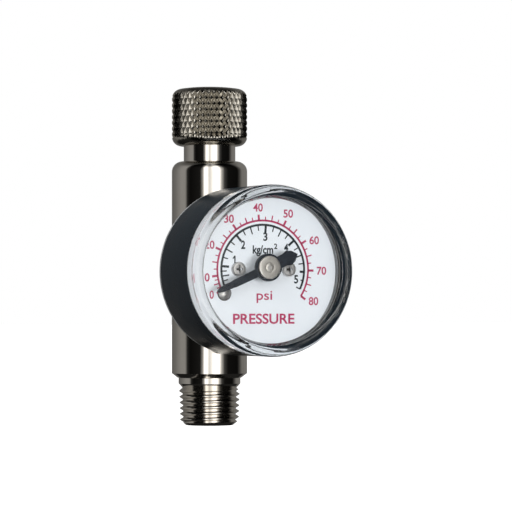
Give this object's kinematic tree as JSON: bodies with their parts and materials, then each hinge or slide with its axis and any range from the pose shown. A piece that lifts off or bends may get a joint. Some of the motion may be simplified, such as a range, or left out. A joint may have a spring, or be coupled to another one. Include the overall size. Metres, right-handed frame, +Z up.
{
  "type": "gas pressure regulator",
  "caption": "Slim cylindrical gas pressure regulator with a tapered male inlet thread, a diamond-knurled adjusting knob and a small round dial pressure gauge on the side.",
  "frame": {"origin": "centre of the inlet thread's end face, on the body's axis", "axes": "+Z up the body's axis to the adjusting knob, -Y out through the gauge's dial, +Y out of the outlet port, +X to the right of a reader of the dial"},
  "size_m": [0.026, 0.036, 0.0537],
  "materials": {
    "nickel_plate": "bright nickel plating on turned brass",
    "knurled_nickel": "bright nickel plating over diamond knurling",
    "brass": "machined",
    "sintered_bronze": "porous sintered",
    "spring_steel": "drawn wire",
    "bright_steel": "bright zinc plated",
    "rubber": "matt nitrile rubber",
    "fibre_washer": "red-brown fibre",
    "black_paint": "semi-gloss black paint on pressed steel",
    "dial_white": "white baked paint with printed scale",
    "pointer_dark": "dark blue-black paint",
    "hub_metal": "satin turned",
    "lens_clear": "clear moulded plastic"
  },
  "bodies": {
    "housing": {"regulator_body": "nickel_plate", "inlet_filter": "sintered_bronze", "filter_circlip": "spring_steel", "valve_spring": "spring_steel", "valve_seat": "brass", "seat_o_ring": "rubber", "range_spring": "spring_steel", "port_washer": "fibre_washer", "gauge_socket": "brass", "gauge_case": "black_paint", "case_screws": "bright_steel", "bourdon_tube": "brass", "movement_plate_lower": "brass", "movement_plate_upper": "brass", "movement_pillars": "brass", "block_screws": "bright_steel", "plate_screws": "bright_steel", "hairspring": "spring_steel", "hairspring_stud": "brass", "dial_posts": "brass", "dial": "dial_white", "dial_screws": "bright_steel", "dial_stud": "bright_steel", "lens": "lens_clear"},
    "spring_carrier": {"spring_button": "brass", "thrust_ball": "bright_steel"},
    "knob": {"adjusting_screw": "nickel_plate", "adjusting_knob": "knurled_nickel", "knob_screw": "bright_steel"},
    "piston_set": {"piston": "brass", "piston_o_ring": "rubber"},
    "poppet": {"valve_poppet": "brass", "poppet_seal": "rubber"},
    "pointer_staff": {"pinion": "bright_steel", "pointer": "pointer_dark", "pointer_hub": "hub_metal"},
    "sector": {"sector_gear": "brass", "sector_arbor": "bright_steel"},
    "link_bar": {"link": "brass"},
    "tube_end": {"tube_tip": "brass"}
  },
  "joints": [
    {"name": "screw_feed", "type": "slide", "parent": "housing", "child": "spring_carrier", "axis": [0, 0, -1], "range_m": [0, 0.00225], "deforming": ["range_spring"]},
    {"name": "knob_turn", "type": "hinge", "parent": "spring_carrier", "child": "knob", "pos_m": [0, 0, 0.045], "axis": [0, 0, -1], "range_deg": [0, 1080]},
    {"name": "piston_travel", "type": "slide", "parent": "housing", "child": "piston_set", "axis": [0, 0, -1], "range_m": [0, 0.0006], "stiffness_N_per_m": 500, "springref_m": -0.0005, "deforming": ["valve_spring"]},
    {"name": "poppet_lift", "type": "slide", "parent": "housing", "child": "poppet", "axis": [0, 0, -1], "range_m": [0, 0.0006]},
    {"name": "pointer_turn", "type": "hinge", "parent": "housing", "child": "pointer_staff", "pos_m": [0, -0.02, 0.0248], "axis": [0, 1, 0], "range_deg": [0, 240], "stiffness_Nm_per_rad": 0.00015, "deforming": ["hairspring", "bourdon_tube"]},
    {"name": "sector_turn", "type": "hinge", "parent": "housing", "child": "sector", "pos_m": [0, -0.0187, 0.01805], "axis": [0, -1, 0], "range_deg": [0, 30]},
    {"name": "link_swing", "type": "hinge", "parent": "sector", "child": "link_bar", "pos_m": [-0.00057, -0.0178, 0.01592], "axis": [0, 1, 0], "range_deg": [0, 30]},
    {"name": "tip_swing", "type": "hinge", "parent": "housing", "child": "tube_end", "pos_m": [0.00947, -0.0178, 0.02978], "axis": [0, -1, 0], "range_deg": [0, 6.53]}
  ],
  "couplings": [
    {"joint": "screw_feed", "follows": "knob_turn", "m_per_rad": 0.00011937},
    {"joint": "poppet_lift", "follows": "piston_travel", "ratio": 1},
    {"joint": "sector_turn", "follows": "pointer_turn", "ratio": 0.125},
    {"joint": "link_swing", "follows": "pointer_turn", "ratio": 0.125},
    {"joint": "tip_swing", "follows": "pointer_turn", "ratio": 0.027202}
  ]
}
